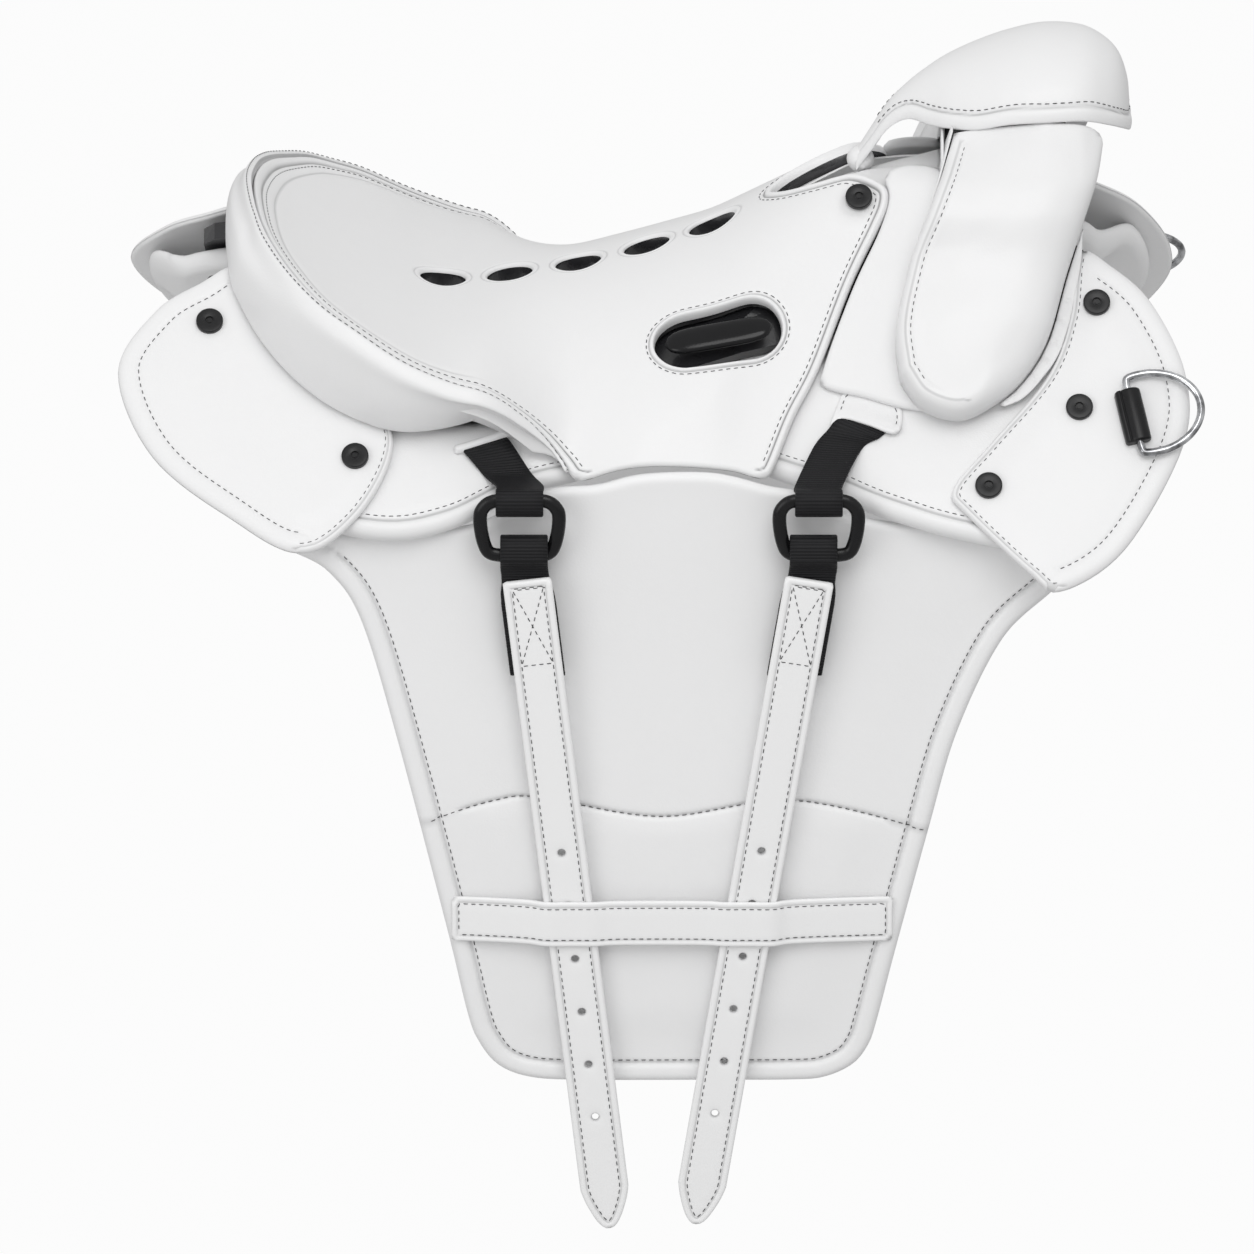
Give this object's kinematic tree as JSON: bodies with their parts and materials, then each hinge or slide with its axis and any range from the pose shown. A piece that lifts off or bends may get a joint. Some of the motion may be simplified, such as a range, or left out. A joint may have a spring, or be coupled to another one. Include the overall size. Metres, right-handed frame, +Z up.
{
  "type": "endurance saddle",
  "caption": "White endurance riding saddle with dished seat, high pommel cap, knee pads, skirts, panels, hinged sweat flaps and long billets hung from rigging rings.",
  "frame": {"origin": "on the centre plane, over the middle of the seat and at the height of the seat's waist edge; the saddle rests on a back or rack around it", "axes": "+X forwards, from the cantle to the pommel; +Y to the saddle's near (left) side; +Z up"},
  "size_m": [0.6417, 0.432, 0.6941],
  "materials": {
    "white_leather": "smooth white synthetic leather, semi-matt",
    "white_padding": "white padded lining",
    "black_webbing": "black woven nylon webbing",
    "screw_plastic": "satin black",
    "ring_plastic": "glossy black",
    "black_tree": "glossy black moulded tree",
    "chrome_ring": "polished"
  },
  "bodies": {
    "saddle": {"cantle_board": "black_tree", "cantle_roll": "white_leather", "fork_arch": "black_tree", "near_dee_keeper": "black_webbing", "near_fork_cover": "white_leather", "near_front_rig_web": "black_webbing", "near_front_skirt": "white_leather", "near_front_skirt_screw_1": "screw_plastic", "near_front_skirt_screw_2": "screw_plastic", "near_front_skirt_screw_3": "screw_plastic", "near_knee_pad": "white_leather", "near_panel": "white_leather", "near_rear_rig_web": "black_webbing", "near_rear_skirt": "white_leather", "near_rear_skirt_screw_1": "screw_plastic", "near_rear_skirt_screw_2": "screw_plastic", "near_seat_screw": "screw_plastic", "near_stirrup_bar": "black_tree", "near_tree_bar": "black_tree", "near_underpanel": "white_padding", "off_dee_keeper": "black_webbing", "off_fork_cover": "white_leather", "off_front_rig_web": "black_webbing", "off_front_skirt": "white_leather", "off_front_skirt_screw_1": "screw_plastic", "off_front_skirt_screw_2": "screw_plastic", "off_front_skirt_screw_3": "screw_plastic", "off_knee_pad": "white_leather", "off_panel": "white_leather", "off_rear_rig_web": "black_webbing", "off_rear_skirt": "white_leather", "off_rear_skirt_screw_1": "screw_plastic", "off_rear_skirt_screw_2": "screw_plastic", "off_seat_screw": "screw_plastic", "off_stirrup_bar": "black_tree", "off_tree_bar": "black_tree", "off_underpanel": "white_padding", "pommel_cap": "white_leather", "seat": "white_leather", "throat_neck": "white_leather"},
    "off_flap": {"off_sweat_flap": "white_leather", "off_keeper_strap": "white_leather"},
    "off_front_ring": {"off_front_ring": "ring_plastic"},
    "off_front_billet": {"off_front_billet": "white_leather", "off_front_billet_web": "black_webbing"},
    "off_rear_ring": {"off_rear_ring": "ring_plastic"},
    "off_rear_billet": {"off_rear_billet": "white_leather", "off_rear_billet_web": "black_webbing"},
    "off_dee": {"off_dee_ring": "chrome_ring"},
    "near_flap": {"near_sweat_flap": "white_leather", "near_keeper_strap": "white_leather"},
    "near_front_ring": {"near_front_ring": "ring_plastic"},
    "near_front_billet": {"near_front_billet": "white_leather", "near_front_billet_web": "black_webbing"},
    "near_rear_ring": {"near_rear_ring": "ring_plastic"},
    "near_rear_billet": {"near_rear_billet": "white_leather", "near_rear_billet_web": "black_webbing"},
    "near_dee": {"near_dee_ring": "chrome_ring"}
  },
  "joints": [
    {"name": "off_flap_swing", "type": "hinge", "parent": "saddle", "child": "off_flap", "pos_m": [0, -0.1635, -0.034], "axis": [-1, 0, 0], "range_deg": [0, 20]},
    {"name": "off_front_ring_swing", "type": "hinge", "parent": "saddle", "child": "off_front_ring", "pos_m": [0.105, -0.184, -0.027], "axis": [-1, 0, 0], "range_deg": [0, 16]},
    {"name": "off_front_billet_swing", "type": "hinge", "parent": "off_front_ring", "child": "off_front_billet", "pos_m": [0.102, -0.184, -0.061], "axis": [-1, 0, 0], "range_deg": [0, 4]},
    {"name": "off_rear_ring_swing", "type": "hinge", "parent": "saddle", "child": "off_rear_ring", "pos_m": [-0.071, -0.184, -0.027], "axis": [-1, 0, 0], "range_deg": [0, 16]},
    {"name": "off_rear_billet_swing", "type": "hinge", "parent": "off_rear_ring", "child": "off_rear_billet", "pos_m": [-0.0684, -0.184, -0.061], "axis": [-1, 0, 0], "range_deg": [0, 4]},
    {"name": "off_dee_swing", "type": "hinge", "parent": "saddle", "child": "off_dee", "pos_m": [0.29095, -0.14863, 0.01355], "axis": [0.2079, -0.6433, -0.7369], "range_deg": [0, 160]},
    {"name": "near_flap_swing", "type": "hinge", "parent": "saddle", "child": "near_flap", "pos_m": [0, 0.1635, -0.034], "axis": [1, 0, 0], "range_deg": [0, 20]},
    {"name": "near_front_ring_swing", "type": "hinge", "parent": "saddle", "child": "near_front_ring", "pos_m": [0.105, 0.184, -0.027], "axis": [1, 0, 0], "range_deg": [0, 16]},
    {"name": "near_front_billet_swing", "type": "hinge", "parent": "near_front_ring", "child": "near_front_billet", "pos_m": [0.102, 0.184, -0.061], "axis": [1, 0, 0], "range_deg": [0, 4]},
    {"name": "near_rear_ring_swing", "type": "hinge", "parent": "saddle", "child": "near_rear_ring", "pos_m": [-0.071, 0.184, -0.027], "axis": [1, 0, 0], "range_deg": [0, 16]},
    {"name": "near_rear_billet_swing", "type": "hinge", "parent": "near_rear_ring", "child": "near_rear_billet", "pos_m": [-0.0684, 0.184, -0.061], "axis": [1, 0, 0], "range_deg": [0, 4]},
    {"name": "near_dee_swing", "type": "hinge", "parent": "saddle", "child": "near_dee", "pos_m": [0.29095, 0.14863, 0.01355], "axis": [-0.2079, -0.6433, 0.7369], "range_deg": [0, 160]}
  ],
  "couplings": [
    {"joint": "off_front_ring_swing", "follows": "off_flap_swing", "ratio": 0.8},
    {"joint": "off_front_billet_swing", "follows": "off_flap_swing", "ratio": 0.2},
    {"joint": "off_rear_ring_swing", "follows": "off_flap_swing", "ratio": 0.8},
    {"joint": "off_rear_billet_swing", "follows": "off_flap_swing", "ratio": 0.2},
    {"joint": "near_front_ring_swing", "follows": "near_flap_swing", "ratio": 0.8},
    {"joint": "near_front_billet_swing", "follows": "near_flap_swing", "ratio": 0.2},
    {"joint": "near_rear_ring_swing", "follows": "near_flap_swing", "ratio": 0.8},
    {"joint": "near_rear_billet_swing", "follows": "near_flap_swing", "ratio": 0.2}
  ]
}
